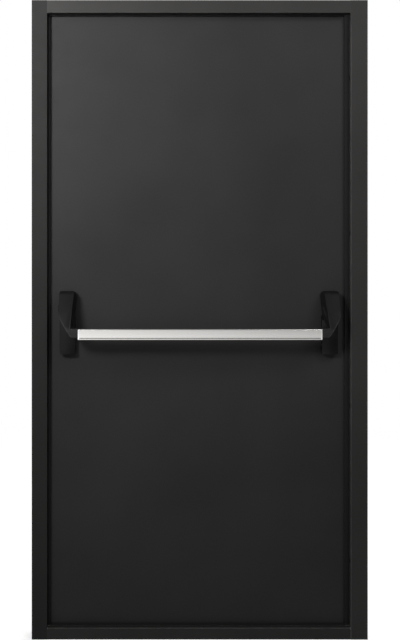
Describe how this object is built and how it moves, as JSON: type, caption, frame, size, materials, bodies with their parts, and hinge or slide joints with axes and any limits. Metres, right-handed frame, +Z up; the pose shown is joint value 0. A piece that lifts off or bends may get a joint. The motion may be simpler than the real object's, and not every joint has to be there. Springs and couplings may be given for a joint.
{
  "type": "steel utility door with frame and push bar",
  "caption": "Flush black steel exit door in a four-sided folded steel frame, swinging outward on flag hinges, with a lever push bar on the room side.",
  "frame": {"origin": "on the underside of the sill, at the middle of the frame's width and halfway through its depth", "axes": "+X along the wall from the hinge jamb to the lock jamb, +Y from the room to the outside, +Z up"},
  "size_m": [1.08, 0.1865, 2.055],
  "materials": {
    "frame_paint": "satin",
    "leaf_paint": "satin",
    "hinge_paint": "satin",
    "seal_rubber": "matte",
    "lock_steel": "satin",
    "pin_steel": "satin",
    "washer_brass": "satin",
    "core_wool": "matte",
    "housing_plastic": "satin",
    "arm_plastic": "satin",
    "bar_aluminium": "satin",
    "collar_aluminium": "polished"
  },
  "bodies": {
    "frame": {"hinge_jamb": "frame_paint", "lock_jamb": "frame_paint", "frame_head": "frame_paint", "frame_sill": "frame_paint", "hinge_side_seal": "seal_rubber", "lock_side_seal": "seal_rubber", "head_seal": "seal_rubber", "sill_seal": "seal_rubber", "strike_plate": "lock_steel", "lower_hinge_frame_half": "hinge_paint", "middle_hinge_frame_half": "hinge_paint", "upper_hinge_frame_half": "hinge_paint", "lower_hinge_pin": "pin_steel", "middle_hinge_pin": "pin_steel", "upper_hinge_pin": "pin_steel", "lower_hinge_washer": "washer_brass", "middle_hinge_washer": "washer_brass", "upper_hinge_washer": "washer_brass"},
    "leaf": {"leaf_inner_tray": "leaf_paint", "leaf_outer_sheet": "leaf_paint", "leaf_core": "core_wool", "lock_forend": "lock_steel", "lock_case": "lock_steel", "latch_bolt": "lock_steel", "lower_hinge_leaf_half": "hinge_paint", "middle_hinge_leaf_half": "hinge_paint", "upper_hinge_leaf_half": "hinge_paint", "left_bar_housing": "housing_plastic", "right_bar_housing": "housing_plastic"},
    "push_bar": {"left_bar_arm": "arm_plastic", "right_bar_arm": "arm_plastic", "left_pivot_pin": "pin_steel", "right_pivot_pin": "pin_steel", "push_bar_tube": "bar_aluminium", "left_bar_collar": "collar_aluminium", "right_bar_collar": "collar_aluminium"}
  },
  "joints": [
    {"name": "leaf_swing", "type": "hinge", "parent": "frame", "child": "leaf", "pos_m": [-0.507, 0.059, 1.0275], "axis": [0, 0, 1], "range_deg": [0, 110]},
    {"name": "bar_push", "type": "hinge", "parent": "leaf", "child": "push_bar", "pos_m": [-0.00275, -0.043, 1.064], "axis": [1, 0, 0], "range_deg": [0, 18], "stiffness_Nm_per_rad": 6, "springref_deg": -28.65}
  ]
}
